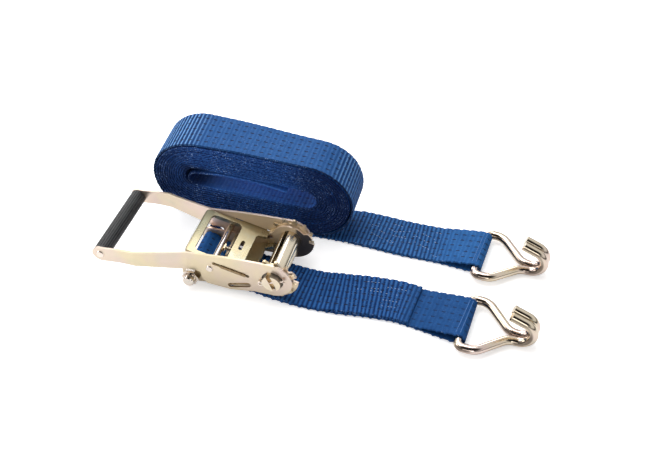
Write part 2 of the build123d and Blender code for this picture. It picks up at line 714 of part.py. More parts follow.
tail_pieces = [
    flat_strap(LONG_LINE, 0, 2 * WEB_T),
    hook_loop(*LONG_HOOK_AT, reach=46.0, top=2 * WEB_T),
]
with BuildPart() as long_webbing:
    with BuildSketch(Plane.XZ.offset(-(ROLL_Y + 2 * WEB_HALF))):
        with Locations((LEFT_X, LEFT_R)):
            Circle(LEFT_R)
        with Locations((RIGHT_X, RIGHT_R)):
            Circle(RIGHT_R)
        with BuildLine():
            Polyline((LEFT_X, 0), (RIGHT_X, 0), (RIGHT_X, 2 * RIGHT_R), (LEFT_X, 2 * LEFT_R),
                     close=True)
        make_face()
        # open core of the roll
        with Locations(CORE):
            SlotOverall(142.0, 21.0, mode=Mode.SUBTRACT)
    extrude(amount=2 * WEB_HALF)
    for piece in tail_pieces:
        add(piece)
write(long_webbing, "long_webbing")
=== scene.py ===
"""A ratchet tie-down: zinc-plated ratchet buckle, two wire hooks and blue woven webbing.

X runs along the straps, with the hooks at +X, and Y across them; the camera stands at -Y, so
"near" is -Y and "far" is +Y. The ratchet's drum axis lies along Y at X = 0, Z = 0. The short
strap runs from the anchor bolt to its hook near Y = 0. The long strap lies beyond it, from its
hook to a flat roll at -X. Webbing is laid out in mm with Z counted from the floor, then
carried to metres by to_metres().
"""

import math
from functools import reduce

import bpy
import numpy as np
from mathutils import Matrix, Vector


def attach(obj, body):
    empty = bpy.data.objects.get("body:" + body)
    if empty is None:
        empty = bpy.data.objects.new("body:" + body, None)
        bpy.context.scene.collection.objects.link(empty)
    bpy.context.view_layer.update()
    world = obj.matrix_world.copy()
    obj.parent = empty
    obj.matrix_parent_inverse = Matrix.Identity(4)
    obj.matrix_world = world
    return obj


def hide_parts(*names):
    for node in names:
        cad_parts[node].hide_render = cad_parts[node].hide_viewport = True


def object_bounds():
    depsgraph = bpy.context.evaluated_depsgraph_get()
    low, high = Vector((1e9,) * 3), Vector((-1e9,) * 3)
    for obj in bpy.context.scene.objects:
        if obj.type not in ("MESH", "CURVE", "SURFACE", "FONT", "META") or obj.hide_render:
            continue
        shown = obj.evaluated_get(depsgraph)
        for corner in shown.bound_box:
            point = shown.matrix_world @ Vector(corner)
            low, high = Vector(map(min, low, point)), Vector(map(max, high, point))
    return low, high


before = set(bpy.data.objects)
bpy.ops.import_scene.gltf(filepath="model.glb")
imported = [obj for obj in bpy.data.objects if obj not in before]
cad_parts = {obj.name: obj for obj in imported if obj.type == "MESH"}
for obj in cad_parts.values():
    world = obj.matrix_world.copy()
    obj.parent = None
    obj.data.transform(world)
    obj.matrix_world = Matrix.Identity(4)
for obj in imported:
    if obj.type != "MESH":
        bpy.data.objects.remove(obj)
cad_lo, cad_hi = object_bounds()

# ------------------------------------------------------------------ sizes, mm
MM = 0.001
FLOOR_Z = -0.030                 # floor below the drum axis, metres
BOLT_X, BOLT_Z, BOLT_RADIUS = -88.5, 12.0, 6.0
SHORT_HOOK_X, LONG_HOOK_X = 190.5, 192.3
HOOK_Z, WIRE_RADIUS = 7.3, 4.6
RIB = 4.35                       # pitch of the cross ribs of the weave
DASH = 2 * RIB                   # pitch of the dark floats along the strap
ROW = 8.5                        # pitch of the rows of dark floats across the strap
HALF_WIDTH = 24.75
THICK = 1.95
EYE_GAP = 0.30                   # between a bar and the webbing folded round it
HOOK_EYE = WIRE_RADIUS + THICK / 2 + EYE_GAP    # radii to the webbing's middle
BOLT_EYE = BOLT_RADIUS + THICK / 2 + EYE_GAP
PLY_1, PLY_2, PLY_3 = 1.15, 3.45, 5.72          # heights of stacked plies, lowest first


# ------------------------------------------------------------------ shader graph helper
class Graph:
    """Builds the node tree of a material or world; methods return output sockets."""

    def __init__(self, owner, output="OutputMaterial", shader="BsdfPrincipled"):
        owner.use_nodes = True
        self.owner = owner
        self.tree = owner.node_tree
        self.tree.nodes.clear()
        target = self.node(output)
        self.shader = self.node(shader)
        self.tree.links.new(self.shader.outputs[0], target.inputs[0])

    def put(self, socket, value):
        if isinstance(value, bpy.types.NodeSocket):
            self.tree.links.new(value, socket)
            return
        if socket.type == "RGBA" and len(value) == 3:
            value = (*value, 1.0)
        socket.default_value = value

    def node(self, kind, inputs=None, **settings):
        node = self.tree.nodes.new("ShaderNode" + kind)
        for key, value in settings.items():
            setattr(node, key, value)
        for key, value in (inputs or {}).items():
            self.put(node.inputs[key], value)
        return node

    def set(self, name, value):
        self.put(self.shader.inputs[name], value)

    def math(self, operation, a, b=0.0, c=None, clamp=False):
        inputs = {0: a, 1: b}
        if c is not None:
            inputs[2] = c
        return self.node("Math", inputs, operation=operation, use_clamp=clamp).outputs[0]

    def add(self, a, b):
        return self.math("ADD", a, b)

    def sub(self, a, b):
        return self.math("SUBTRACT", a, b)

    def mul(self, *factors):
        return reduce(lambda a, b: self.math("MULTIPLY", a, b), factors)

    def mul_add(self, value, by, plus):
        return self.math("MULTIPLY_ADD", value, by, plus)

    def absolute(self, value):
        return self.math("ABSOLUTE", value)

    def wave(self, operation, value, pitch):
        return self.math(operation, self.mul(value, 2 * math.pi / pitch))

    def from_middle(self, cycles, pitch):
        """Distance from the middle of the current cycle."""
        return self.mul(self.absolute(self.sub(self.math("FRACT", cycles), 0.5)), pitch)

    def ramp(self, value, over, to=(0.0, 1.0)):
        """Smooth step between the values `to` while `value` crosses the range `over`."""
        inputs = {0: value, 1: over[0], 2: over[1], 3: to[0], 4: to[1]}
        node = self.node("MapRange", inputs, interpolation_type="SMOOTHSTEP", clamp=True)
        return node.outputs[0]

    def fall(self, value, over):
        return self.ramp(value, over, to=(1.0, 0.0))

    def mix(self, factor, a, b):
        node = self.node("Mix", data_type="RGBA", clamp_factor=True)
        for index, value in ((0, factor), (6, a), (7, b)):
            self.put(node.inputs[index], value)
        return node.outputs[2]

    def paint(self, under, colour, mask, amount=None):
        """Lay a colour over another where the mask is high, at most by `amount`."""
        if amount is not None:
            mask = self.mul(mask, amount)
        return self.mix(mask, under, colour)

    def attr(self, name):
        return self.node("Attribute", attribute_name=name).outputs["Fac"]

    def coords(self, scale=(1, 1, 1), turn=(0, 0, 0)):
        place = self.node("TexCoord").outputs["Object"]
        return self.node("Mapping", {"Vector": place, "Scale": scale, "Rotation": turn}).outputs[0]

    def combine(self, x, y):
        return self.node("CombineXYZ", {0: x, 1: y, 2: 0.0}).outputs[0]

    def xyz(self, vector):
        return self.node("SeparateXYZ", {0: vector}).outputs

    def noise(self, vector, scale, detail=3.0, rough=0.5, distort=0.0):
        inputs = {"Vector": vector, "Scale": scale, "Detail": detail, "Roughness": rough,
                  "Distortion": distort}
        return self.node("TexNoise", inputs).outputs[0]

    def dot(self, vector, direction):
        node = self.node("VectorMath", {0: vector, 1: direction}, operation="DOT_PRODUCT")
        return node.outputs["Value"]

    def bevel(self, radius):
        return self.node("Bevel", {"Radius": radius}, samples=8).outputs[0]

    def bump(self, height, strength, distance, normal=None):
        inputs = {"Strength": strength, "Distance": distance, "Height": height}
        if normal is not None:
            inputs["Normal"] = normal
        return self.node("Bump", inputs).outputs[0]

    def world_normal(self):
        return self.node("NewGeometry").outputs["Normal"]

    def normal_xyz(self):
        """Components of the surface normal in the object's own frame."""
        turned = self.node("VectorTransform", {0: self.world_normal()}, vector_type="NORMAL",
                           convert_from="WORLD", convert_to="OBJECT")
        return self.xyz(turned.outputs[0])


def shade(colour, by, plus=0.0):
    return tuple(c * by + plus for c in colour)


# ------------------------------------------------------------------ materials
def roll_ends(g, col, at, edge, ridge, dark, ends, inner):
    """Painted shade on the stacked selvages of the roll, most of all round its two ends, and
    painted light in its open core; at is in metres.
    """
    # painted shade between the stacked plies, on the flanks of each selvage
    rim = g.mul(g.ramp(edge, over=(0.10, 0.40)), g.fall(edge, over=(0.66, 0.88)))
    col = g.paint(col, shade(dark, by=0.30), rim, amount=0.80)
    if inner:
        # painted shade in the tight fold of the inner plies at the left end, and on their flat
        # faces, most to the left
        nose = g.mul(g.fall(g.absolute(g.add(at[0], 0.118)), over=(0.010, 0.022)),
                     g.fall(g.absolute(g.sub(at[2], 0.0275)), over=(0.010, 0.016)))
        col = g.paint(col, shade(dark, by=0.3), nose, amount=g.mul(edge, 0.8))
        flat = g.math("SUBTRACT", 1.0, edge, clamp=True)
        col = g.paint(col, shade(dark, by=0.7), flat,
                      amount=g.ramp(at[0], over=(-0.112, -0.052), to=(0.82, 0.12)))
    # painted shade growing with distance from the roll's middle and at its right end; painted
    # light in the open core
    far = g.ramp(g.absolute(g.add(at[0], 0.056)), over=(0.052, 0.108))
    core = g.mul(g.fall(g.absolute(g.add(at[0], 0.056)), over=(0.035, 0.066)),
                 g.fall(g.absolute(g.sub(at[2], 0.0235)), over=(0.006, 0.018)))
    col = g.paint(col, shade(dark, by=0.35), far, amount=g.mul(edge, ends))
    col = g.paint(col, shade(dark, by=0.5), g.ramp(at[0], over=(-0.024, 0.012)),
                  amount=g.mul(edge, 0.74))
    return g.paint(col, shade(ridge, by=1.5), core, amount=0.45 if inner else 0.0)


def webbing_material(name, ridge, groove, dark, speck, inner=0.0, ends=0.0, crest=0.0,
                     shade_from=None):
    """Woven polyester laid out by the strap's own length (ws) and width (wv), in mm.

    speck: painted glints; ends, inner: painted shade and light on the roll; crest: painted
    highlight on stretched rib tops; shade_from: X in metres beyond which painted shade darkens the
    strap.
    """
    g = Graph(bpy.data.materials.new(name))
    along, across = g.attr("ws"), g.attr("wv")
    edge, crinkle = g.attr("we"), g.attr("wc")
    weave = g.combine(along, across)
    # slight irregularity of the weave
    wobble = g.noise(weave, scale=0.12, detail=2.0)
    length = g.add(along, g.mul(g.sub(wobble, 0.5), 0.8))
    rib = g.mul_add(g.wave("COSINE", length, pitch=RIB), by=0.5, plus=0.5)
    # dark floats in every second groove, in rows slanted slightly across
    slanted = g.mul_add(across, by=0.05, plus=length)
    from_float = g.from_middle(g.math("DIVIDE", g.add(slanted, -RIB / 2), DASH), DASH)
    from_row = g.from_middle(g.mul_add(across, by=1 / ROW, plus=0.5), ROW)
    patches = g.noise(weave, scale=0.21, detail=2.0)
    floats = g.mul(g.fall(from_float, over=(1.5, 2.4)),
                   g.fall(from_row, over=(0.42, 1.05)),
                   g.fall(g.absolute(across), over=(19.6, 20.6)),
                   g.ramp(patches, over=(0.30, 0.50), to=(0.55, 1.0)))
    # warp yarns along the strap, pulled into a small zigzag at each rib
    zigzag = g.mul(g.wave("SINE", length, pitch=RIB), 0.16)
    yarn = g.wave("SINE", g.add(across, zigzag), pitch=0.95)
    filaments = g.noise(g.combine(g.mul(along, 0.35), g.mul(across, 2.4)), scale=1.1, rough=0.6)
    # colour of ribs, grooves and yarns
    tone = g.noise(g.combine(g.mul(along, 0.5), across), scale=0.16, rough=0.55)
    # painted shade: the grooves between the ribs are darker than the rib tops, the more so where
    # the strap crinkles
    lift = g.math("MULTIPLY", g.sub(1.0, rib), g.mul_add(crinkle, by=0.95, plus=0.16),
                  clamp=True)
    col = g.mix(lift, ridge, groove)
    col = g.paint(col, shade(ridge, by=1.6, plus=0.008), g.ramp(filaments, over=(0.35, 0.75)),
                  amount=0.34)
    col = g.paint(col, groove, g.ramp(tone, over=(0.38, 0.68)), amount=0.30)
    col = g.paint(col, dark, g.fall(yarn, over=(-1.0, -0.3)), amount=0.22)
    # more painted shade deep in the grooves where the strap crinkles
    col = g.paint(col, dark, g.fall(rib, over=(0.0, 0.26)),
                  amount=g.ramp(crinkle, over=(0.45, 0.95), to=(0.0, 0.62)))
    if crest:
        # painted highlight on the stretched rib tops where the strap bends hard, and painted shade
        # in the grooves beside them
        bent = (0.52, 0.84)
        top = g.mul(g.ramp(rib, over=(0.66, 0.97)), g.ramp(crinkle, over=bent, to=(0.0, crest)))
        top = g.mul(top, g.mul_add(g.ramp(yarn, over=(-0.6, 0.8)), by=0.45, plus=0.55))
        col = g.paint(col, (0.19, 0.39, 0.70), top)
        col = g.paint(col, dark, g.fall(rib, over=(0.12, 0.42)),
                      amount=g.ramp(crinkle, over=bent, to=(0.0, 0.8 * crest)))
    col = g.paint(col, (0.010, 0.012, 0.020), floats, amount=0.88)
    # selvage: painted shade, with pale fuzz
    col = g.paint(col, dark, edge, amount=0.60)
    place = g.coords()
    fuzz = g.noise(place, scale=620.0, detail=2.0, rough=0.7)
    col = g.paint(col, ridge, edge, amount=g.ramp(fuzz, over=(0.47, 0.62), to=(0.0, 0.75)))
    if ends:
        at = g.xyz(place)
        col = roll_ends(g, col, at, edge, ridge, dark, ends, inner)
    # painted shade: the strap darker beyond the given X
    if shade_from is not None:
        x = g.xyz(place)[0]
        col = g.paint(col, shade(ridge, by=0.42),
                      g.ramp(x, over=(shade_from, shade_from + 0.012), to=(0.0, 0.45)))
    # fine glints, gathered in patches and strongest on the selvage
    glint = g.mul(g.ramp(g.noise(place, scale=780.0, detail=1.0), over=(0.60, 0.68)),
                  g.ramp(g.noise(place, scale=70.0, detail=2.0), over=(0.40, 0.60)))
    on_face = 0.25 * speck
    glint = g.math("MULTIPLY", glint, g.mul_add(edge, by=1.0 - on_face, plus=on_face), clamp=True)
    if ends:
        glint = g.mul(glint, g.ramp(at[0], over=(-0.040, 0.004), to=(1.0, 0.50)))
    col = g.paint(col, (0.30, 0.46, 0.84), glint, amount=speck)
    g.set("Base Color", col)
    g.set("Roughness", g.add(0.50, g.mul(filaments, 0.22)))
    g.set("Specular IOR Level", 0.08)
    g.set("Sheen Weight", 0.03 * (1 - inner))
    g.set("Sheen Roughness", 0.35)
    g.set("Sheen Tint", (0.30, 0.55, 1.0))
    height = g.add(g.mul(yarn, 0.32), g.mul(filaments, 0.9))
    height = g.sub(height, g.mul(floats, 1.2))
    g.set("Normal", g.bump(height, strength=0.55, distance=0.00028))
    return g.owner


def plated_metal(name, base, cloud, film, rough, wear=0.35, edge_radius=0.0002, rainbow=0.25,
                 scratch=0.25, metallic=0.9, inside=None, deep=None, shade_ring_from=None,
                 dark_reflection_band=False, bar=None, edge_face=None, film_scale=34.0):
    """Zinc plate: two clouded tones, faint interference film, scratches, rounded edges.

    inside, deep: sign of Y a face must turn to for the painted shade between the plates or the
    shadowed tone;
    shade_ring_from, edge_face: |Y| in metres beyond which that tone starts; bar: X of the olive
    part.
    """
    g = Graph(bpy.data.materials.new(name))
    place = g.coords()
    clouds = g.noise(place, scale=20.0, detail=2.0, rough=0.45, distort=0.3)
    fine = g.noise(place, scale=260.0, rough=0.6)
    col = g.mix(g.ramp(clouds, over=(0.36, 0.64)), base, cloud)
    films = g.noise(g.coords(scale=(1, 0.6, 1.4), turn=(0.2, 0.5, 0.3)), scale=film_scale,
                    detail=2.0, rough=0.45, distort=0.8)
    col = g.paint(col, film, g.ramp(films, over=(0.52, 0.70)), amount=rainbow)
    film_shadow = tuple(a * b for a, b in zip(base, (0.78, 0.92, 0.95)))
    col = g.paint(col, film_shadow, g.fall(films, over=(0.30, 0.42)), amount=rainbow * 0.8)
    col = g.paint(col, shade(cloud, by=0.55), g.ramp(fine, over=(0.60, 0.74)),
                  amount=wear * 0.06)
    facing = (0.55, 0.9)    # how squarely a face must turn to the middle
    if inside is not None:
        # painted shade on faces turned to the middle of the buckle, between the plates
        normal, at = g.normal_xyz(), g.xyz(place)
        mask = g.mul(g.ramp(g.mul(normal[1], inside), over=facing),
                     g.ramp(at[0], over=(-0.095, -0.055)))
        col = g.paint(col, (0.56, 0.43, 0.27), mask, amount=0.80)
        rough = g.mul_add(mask, by=0.22, plus=rough)
        metallic = g.mul_add(mask, by=-0.45, plus=metallic)
    if deep is not None:
        # the shadowed inner face to the right of the drum axis
        at, normal = g.xyz(place), g.normal_xyz()
        mask = g.mul(g.ramp(g.mul(normal[1], deep), over=facing),
                     g.ramp(at[0], over=(0.0045, 0.0075)))
        col = g.paint(col, (0.030, 0.030, 0.040), mask, amount=0.95)
    if shade_ring_from is not None:
        # painted shade: a dark ring round the drum axis on the end faces, for the shaded gap round
        # the bar ends
        at = g.xyz(place)
        radius = g.math("SQRT", g.add(g.mul(at[0], at[0]), g.mul(at[2], at[2])))
        mask = g.mul(g.ramp(g.absolute(at[1]), over=(shade_ring_from, shade_ring_from + 0.0003)),
                     g.ramp(radius, over=(0.00935, 0.0096)),
                     g.fall(radius, over=(0.0118, 0.0122)))
        col = g.paint(col, (0.060, 0.042, 0.034), mask, amount=0.92)
        metallic = g.mul_add(mask, by=-0.7, plus=metallic)
    if dark_reflection_band:
        # painted reflection: a dark brown band along the side turned to the front left and a
        # little up
        turned = g.dot(g.world_normal(), direction=(-0.40, -0.84, 0.36))
        col = g.paint(col, (0.115, 0.085, 0.065),
                      g.ramp(turned, over=(0.80, 0.93), to=(0.0, 0.85)))
    if bar is not None:
        # left of this X the metal goes to a deep olive towards its far end
        at = g.xyz(place)
        mask = g.mul(g.fall(at[0], over=(bar - 0.002, bar + 0.001)),
                     g.ramp(at[1], over=(-0.030, 0.008)))
        col = g.paint(col, (0.20, 0.19, 0.12), mask, amount=0.80)
        metallic = g.mul_add(mask, by=-0.35, plus=metallic)
    if edge_face is not None:
        # blanked ends that show in the plate slots: dark gold
        at = g.xyz(place)
        mask = g.ramp(g.absolute(at[1]), over=(edge_face, edge_face + 0.0003))
        grain = g.noise(g.coords(scale=(0.3, 1.0, 3.0)), scale=700.0, detail=2.0, rough=0.6)
        gold = g.mix(g.ramp(grain, over=(0.35, 0.7)), (0.20, 0.115, 0.045), (0.42, 0.29, 0.14))
        col = g.paint(col, gold, mask, amount=0.93)
        metallic = g.mul_add(mask, by=-0.5, plus=metallic)
    g.set("Base Color", col)
    g.set("Metallic", metallic)
    streaks = g.noise(g.coords(scale=(0.10, 1.0, 2.2), turn=(0, 0.12, 0)), scale=900.0,
                      detail=2.0, rough=0.6)
    rough = g.add(rough, g.mul(g.sub(clouds, 0.5), 0.12))
    g.set("Roughness", g.add(rough, g.mul(g.ramp(fine, over=(0.45, 0.8)), 0.08)))
    height = g.add(g.mul(streaks, scratch), g.mul(fine, 0.06))
    g.set("Normal", g.bump(height, strength=0.025, distance=0.0003, normal=g.bevel(edge_radius)))
    return g.owner


def grip_material():
    """Moulded black plastic with fine grain and a little dust."""
    g = Graph(bpy.data.materials.new("grip_moulded_black"))
    place = g.coords()
    grain = g.noise(place, scale=1400.0, rough=0.6)
    dust = g.noise(place, scale=90.0, detail=4.0, rough=0.6)
    col = g.mix(g.ramp(dust, over=(0.4, 0.7)), (0.006, 0.0065, 0.007), (0.016, 0.017, 0.019))
    col = g.paint(col, (0.10, 0.10, 0.105), g.ramp(grain, over=(0.62, 0.75)), amount=0.25)
    g.set("Base Color", col)
    g.set("Roughness", g.mul_add(dust, by=0.20, plus=0.24))
    g.set("Specular IOR Level", 0.5)
    height = g.add(g.mul(grain, 0.5), g.mul(dust, 0.3))
    g.set("Normal", g.bump(height, strength=0.35, distance=0.00015, normal=g.bevel(0.0003)))
    return g.owner


def thread_material():
    """Sewing thread; the attribute tw takes it from dark blue (0) by blue (0.5) to pale (1), the
    pale tone being a painted glint.
    """
    g = Graph(bpy.data.materials.new("sewing_thread"))
    tone = g.attr("tw")
    twist = g.noise(g.coords(), scale=2600.0, detail=2.0, rough=0.6)
    col = g.mix(g.ramp(tone, over=(0.2, 0.3)), (0.022, 0.095, 0.30), (0.045, 0.160, 0.430))
    # painted glint: the pale stitches
    col = g.paint(col, (0.36, 0.47, 0.68), g.ramp(tone, over=(0.7, 0.8)))
    col = g.paint(col, (0.12, 0.18, 0.34), g.ramp(twist, over=(0.4, 0.7)), amount=0.35)
    g.set("Base Color", col)
    g.set("Roughness", g.mul_add(twist, by=0.2, plus=0.35))
    g.set("Sheen Weight", 0.05)
    g.set("Specular IOR Level", 0.25)
    g.set("Normal", g.bump(twist, strength=0.5, distance=0.0001))
    return g.owner


# webbing colours: ridge, groove, dark. One blue webbing: the inner plies get lighter tones as
# painted light, the short strap darker ones as painted shade
WEB_ROLL = webbing_material(
    "webbing_blue_roll", (0.023, 0.100, 0.290), (0.008, 0.050, 0.178), (0.002, 0.012, 0.066),
    speck=0.7, ends=0.5, crest=1.0)
WEB_TAIL = webbing_material(
    "webbing_blue", (0.023, 0.122, 0.345), (0.0055, 0.038, 0.142), (0.001, 0.008, 0.045),
    speck=0.6, crest=0.12)
WEB_SHORT = webbing_material(
    "webbing_blue_short", (0.016, 0.100, 0.320), (0.0038, 0.029, 0.125), (0.001, 0.007, 0.042),
    speck=0.5, crest=0.10, shade_from=0.126)
WEB_INNER = webbing_material(
    "webbing_blue_inner", (0.040, 0.148, 0.500), (0.008, 0.044, 0.210), (0.002, 0.011, 0.078),
    speck=0.75, inner=0.4, ends=0.7)
THREAD = thread_material()

# metal colours: base, cloud, film
FAR_TONES = (0.89, 0.75, 0.57), (0.87, 0.70, 0.61), (0.82, 0.64, 0.62)
PLATE_NEAR = plated_metal(
    "zinc_yellow_plate", (0.765, 0.655, 0.455), (0.745, 0.615, 0.525), (0.72, 0.57, 0.56),
    rough=0.30, inside=1.0)
PLATE_FAR = plated_metal("zinc_yellow_plate_far", *FAR_TONES, rough=0.30, inside=-1.0)
FRAME_FAR = plated_metal("zinc_yellow_frame_far", *FAR_TONES, rough=0.30, inside=-1.0, deep=-1.0)
PAWL = plated_metal(
    "zinc_yellow_pawl", (0.46, 0.40, 0.26), (0.43, 0.365, 0.225), (0.42, 0.47, 0.40),
    rough=0.27, rainbow=0.55, edge_face=0.0326, bar=-0.083, film_scale=62.0)
LOW_PAWL = plated_metal(
    "zinc_yellow_pawl_low", (0.60, 0.50, 0.28), (0.52, 0.42, 0.24), (0.40, 0.40, 0.30),
    rough=0.27, rainbow=0.45, edge_face=0.0272)
WHEEL = plated_metal(
    "zinc_yellow_wheel", (0.80, 0.66, 0.42), (0.72, 0.58, 0.40), (0.66, 0.50, 0.42),
    rough=0.27, rainbow=0.35)
BRIGHT = plated_metal(
    "zinc_bright", (0.82, 0.74, 0.66), (0.80, 0.68, 0.60), (0.74, 0.62, 0.62),
    rough=0.15, wear=0.2, edge_radius=0.00025, rainbow=0.3, scratch=0.1, metallic=1.0)
BARS = plated_metal(
    "zinc_bright_bars", (0.88, 0.79, 0.63), (0.80, 0.69, 0.52), (0.76, 0.62, 0.56),
    rough=0.14, wear=0.2, rainbow=0.3, scratch=0.2, metallic=1.0, shade_ring_from=0.0331)
HOOK = plated_metal(
    "zinc_hook", (0.74, 0.64, 0.49), (0.73, 0.59, 0.53), (0.66, 0.54, 0.36),
    rough=0.11, wear=0.3, rainbow=0.4, scratch=0.1, metallic=1.0, dark_reflection_band=True)
SPRING = plated_metal(
    "spring_steel_wire", (0.52, 0.50, 0.46), (0.45, 0.42, 0.38), (0.50, 0.46, 0.40),
    rough=0.26, wear=0.3, edge_radius=0.0001, rainbow=0.1, scratch=0.4)
GRIP = grip_material()

LOOKS = {
    "frame_side_near": PLATE_NEAR,
    "frame_side_far": FRAME_FAR,
    "handle_side_near": PLATE_NEAR,
    "handle_side_far": PLATE_FAR,
    "frame_tie_plate": WHEEL,
    "anchor_bolt": BRIGHT,
    "anchor_nut": BRIGHT,
    "frame_pawl_spring": SPRING,
    "mandrel_half_right": BARS,
    "mandrel_half_left": BARS,
    "ratchet_wheel_near": WHEEL,
    "ratchet_wheel_far": WHEEL,
    "split_pins": BRIGHT,
    "handle_crossbar": BRIGHT,
    "grip_rod": BRIGHT,
    "handle_grip": GRIP,
    "handle_pawl_spring": SPRING,
    "handle_spring_seat": WHEEL,
    "handle_pawl": PAWL,
    "frame_pawl": LOW_PAWL,
    "short_hook": HOOK,
    "long_hook": HOOK,
}
for part, look in LOOKS.items():
    part_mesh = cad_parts[part].data
    part_mesh.materials.clear()
    part_mesh.materials.append(look)


# ------------------------------------------------------------------ curves
def smoothstep(f):
    return f * f * (3 - 2 * f)


def at_stations(table, x):
    """Read a table of (position, value) at x, straight between its rows."""
    return np.interp(x, *zip(*table))


def wander(s, seed, step, amount):
    """Smooth repeatable noise along s, with a random value every step."""
    random = np.random.RandomState(seed)
    low, high = s.min() - 4 * step, s.max() + 4 * step
    count = len(np.arange(low, high, step))
    values = random.uniform(-amount, amount, count)
    place = (s - low) / step
    i = np.clip(place.astype(int), 0, count - 2)
    f = smoothstep(place - i)
    return values[i] * (1 - f) + values[i + 1] * f


def smooth(rows, reach):
    """Moving average over reach rows each way, run twice, ends kept."""
    kernel = np.ones(2 * reach + 1) / (2 * reach + 1)
    for _ in range(2):
        padded = np.concatenate([np.repeat(rows[:1], reach, 0), rows,
                                 np.repeat(rows[-1:], reach, 0)])
        rows = np.stack([np.convolve(column, kernel, "valid") for column in padded.T], 1)
    return rows


def resample(rows, step):
    """Even spacing along rows of (x, y, z, extras...); gives the rows and their lengths."""
    rows = np.asarray(rows, float)
    gaps = np.linalg.norm(np.diff(rows[:, :3], axis=0), axis=1)
    rows = rows[np.concatenate([[True], gaps > 1e-6])]
    gaps = np.linalg.norm(np.diff(rows[:, :3], axis=0), axis=1)
    s = np.concatenate([[0], np.cumsum(gaps)])
    even = np.linspace(0, s[-1], max(2, int(round(s[-1] / step)) + 1))
    return np.stack([np.interp(even, s, column) for column in rows.T], 1), even


def plan(points):
    """Smooth curve y(x) through plan points."""
    points = np.array(points, float)
    px, py = points.T
    x = np.arange(px[0], px[-1] + 0.5, 1.0)
    slope = np.gradient(py, px)
    i = np.clip(np.searchsorted(px, x, side="right") - 1, 0, len(points) - 2)
    h = px[i + 1] - px[i]
    f = (x - px[i]) / h
    y = ((2 * f**3 - 3 * f**2 + 1) * py[i] + (f**3 - 2 * f**2 + f) * h * slope[i]
         + (-2 * f**3 + 3 * f**2) * py[i + 1] + (f**3 - f**2) * h * slope[i + 1])
    return lambda at: np.interp(at, x, y)


def tangent(centre, radius, point, upper):
    """Where a line from the point touches a circle in XZ: the touching point and its angle."""
    across, up = point[0] - centre[0], point[1] - centre[1]
    offset = math.acos(radius / math.hypot(across, up))
    angle = math.atan2(up, across) + (offset if upper else -offset)
    touch = centre[0] + radius * math.cos(angle), centre[1] + radius * math.sin(angle)
    return touch, angle


def arc_xz(centre, radius, start, end, count):
    return [(centre[0] + radius * math.cos(a), centre[1] + radius * math.sin(a))
            for a in np.linspace(start, end, count)]


def line_xz(p, q):
    """Points about 1 mm apart from p to q."""
    n = max(2, int(math.hypot(q[0] - p[0], q[1] - p[1])))
    return [(p[0] + (q[0] - p[0]) * i / n, p[1] + (q[1] - p[1]) * i / n) for i in range(n + 1)]


def hook_fold(hook_x, bottom_run):
    """Webbing from the second ply clockwise round a hook's bar to the floor ply."""
    centre = hook_x, HOOK_Z
    top, bottom = (hook_x - 44.0, PLY_2), (hook_x - bottom_run, PLY_1)
    on, on_angle = tangent(centre, HOOK_EYE, top, upper=False)
    off, off_angle = tangent(centre, HOOK_EYE, bottom, upper=True)
    start = on_angle % (2 * math.pi)
    end = off_angle % (2 * math.pi) - 2 * math.pi
    return line_xz(top, on) + arc_xz(centre, HOOK_EYE, start, end, 40) + line_xz(off, bottom)


def centre_line(path, plan_curve):
    """Soften and space an XZ path, then set its Y from the plan."""
    rows = np.array([(x, 0.0, z) for x, z in path])
    rows, _ = resample(rows, 0.6)
    rows, s = resample(smooth(rows, 2), 0.72)
    rows[:, 1] = plan_curve(rows[:, 0])
    return rows, s


# ------------------------------------------------------------------ webbing meshes
EDGE_POINTS = 5     # points round each rounded selvage


def to_metres(points):
    return points * MM + np.array([0, 0, FLOOR_Z])


def add_webbing(name, mesh, body):
    piece = bpy.data.objects.new(name, mesh)
    bpy.context.scene.collection.objects.link(piece)
    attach(piece, body)
    return piece


def strap_frame(line, heading):
    """Unit vectors along, across and out of the webbing; heading in degrees from Y."""
    along = np.gradient(line, axis=0)
    along /= np.linalg.norm(along, axis=1)[:, None]
    a = np.radians(heading)
    across = np.stack([-np.sin(a), np.cos(a), np.zeros_like(a)], 1)
    across -= along * (across * along).sum(1)[:, None]
    across /= np.linalg.norm(across, axis=1)[:, None]
    return along, across, np.cross(along, across)


def relief(s, v, crinkle, shift):
    """Height of the weave over its mean surface, its ribs shifted along by shift."""
    rib = np.cos(2 * np.pi * (s + shift) / RIB)
    rib = np.where(rib > 0, np.abs(rib) ** 0.8, -np.abs(rib) ** 1.15)
    fade = 1 - 0.5 * np.clip((np.abs(v) - 19) / 5, 0, 1)
    height = (0.06 + 0.26 * crinkle) * rib * fade
    cycles = (s + 0.07 * v - RIB / 2) / DASH
    from_float = np.abs(cycles - np.floor(cycles) - 0.5) * DASH
    rows = v / ROW + 0.5
    from_row = np.abs(rows - np.floor(rows) - 0.5) * ROW
    pit = np.exp(-(from_float / 1.5) ** 2 - (from_row / 0.75) ** 2) * (np.abs(v) < 20)
    height = height - pit * (0.10 + 0.10 * crinkle)
    # channels between the warp bundles
    channel = np.exp(-(from_row / 1.1) ** 2) * (np.abs(v) < 21)
    return height - (0.05 + 0.08 * crinkle) * channel


def cross_section(across, half, thick):
    """One ring: place across, height, face (1 upper, -1 lower) and closeness to the edge."""
    radius = thick / 2
    flat = np.linspace(-(half - radius), half - radius, across)
    a = np.radians(np.linspace(90, -90, EDGE_POINTS + 2)[1:-1])
    one, zero = np.ones(across), np.zeros(across)
    bulge = half - radius + radius * np.cos(a)
    ring_v = np.concatenate([flat, bulge, flat[::-1], -bulge])
    ring_h = radius * np.concatenate([one, np.sin(a), -one, -np.sin(a)])
    face = np.concatenate([one, np.sign(np.sin(a)), -one, -np.sign(np.sin(a))])
    edge = np.concatenate([zero, np.cos(a), zero, np.cos(a)]) ** 0.5
    return ring_v, ring_h, face, edge


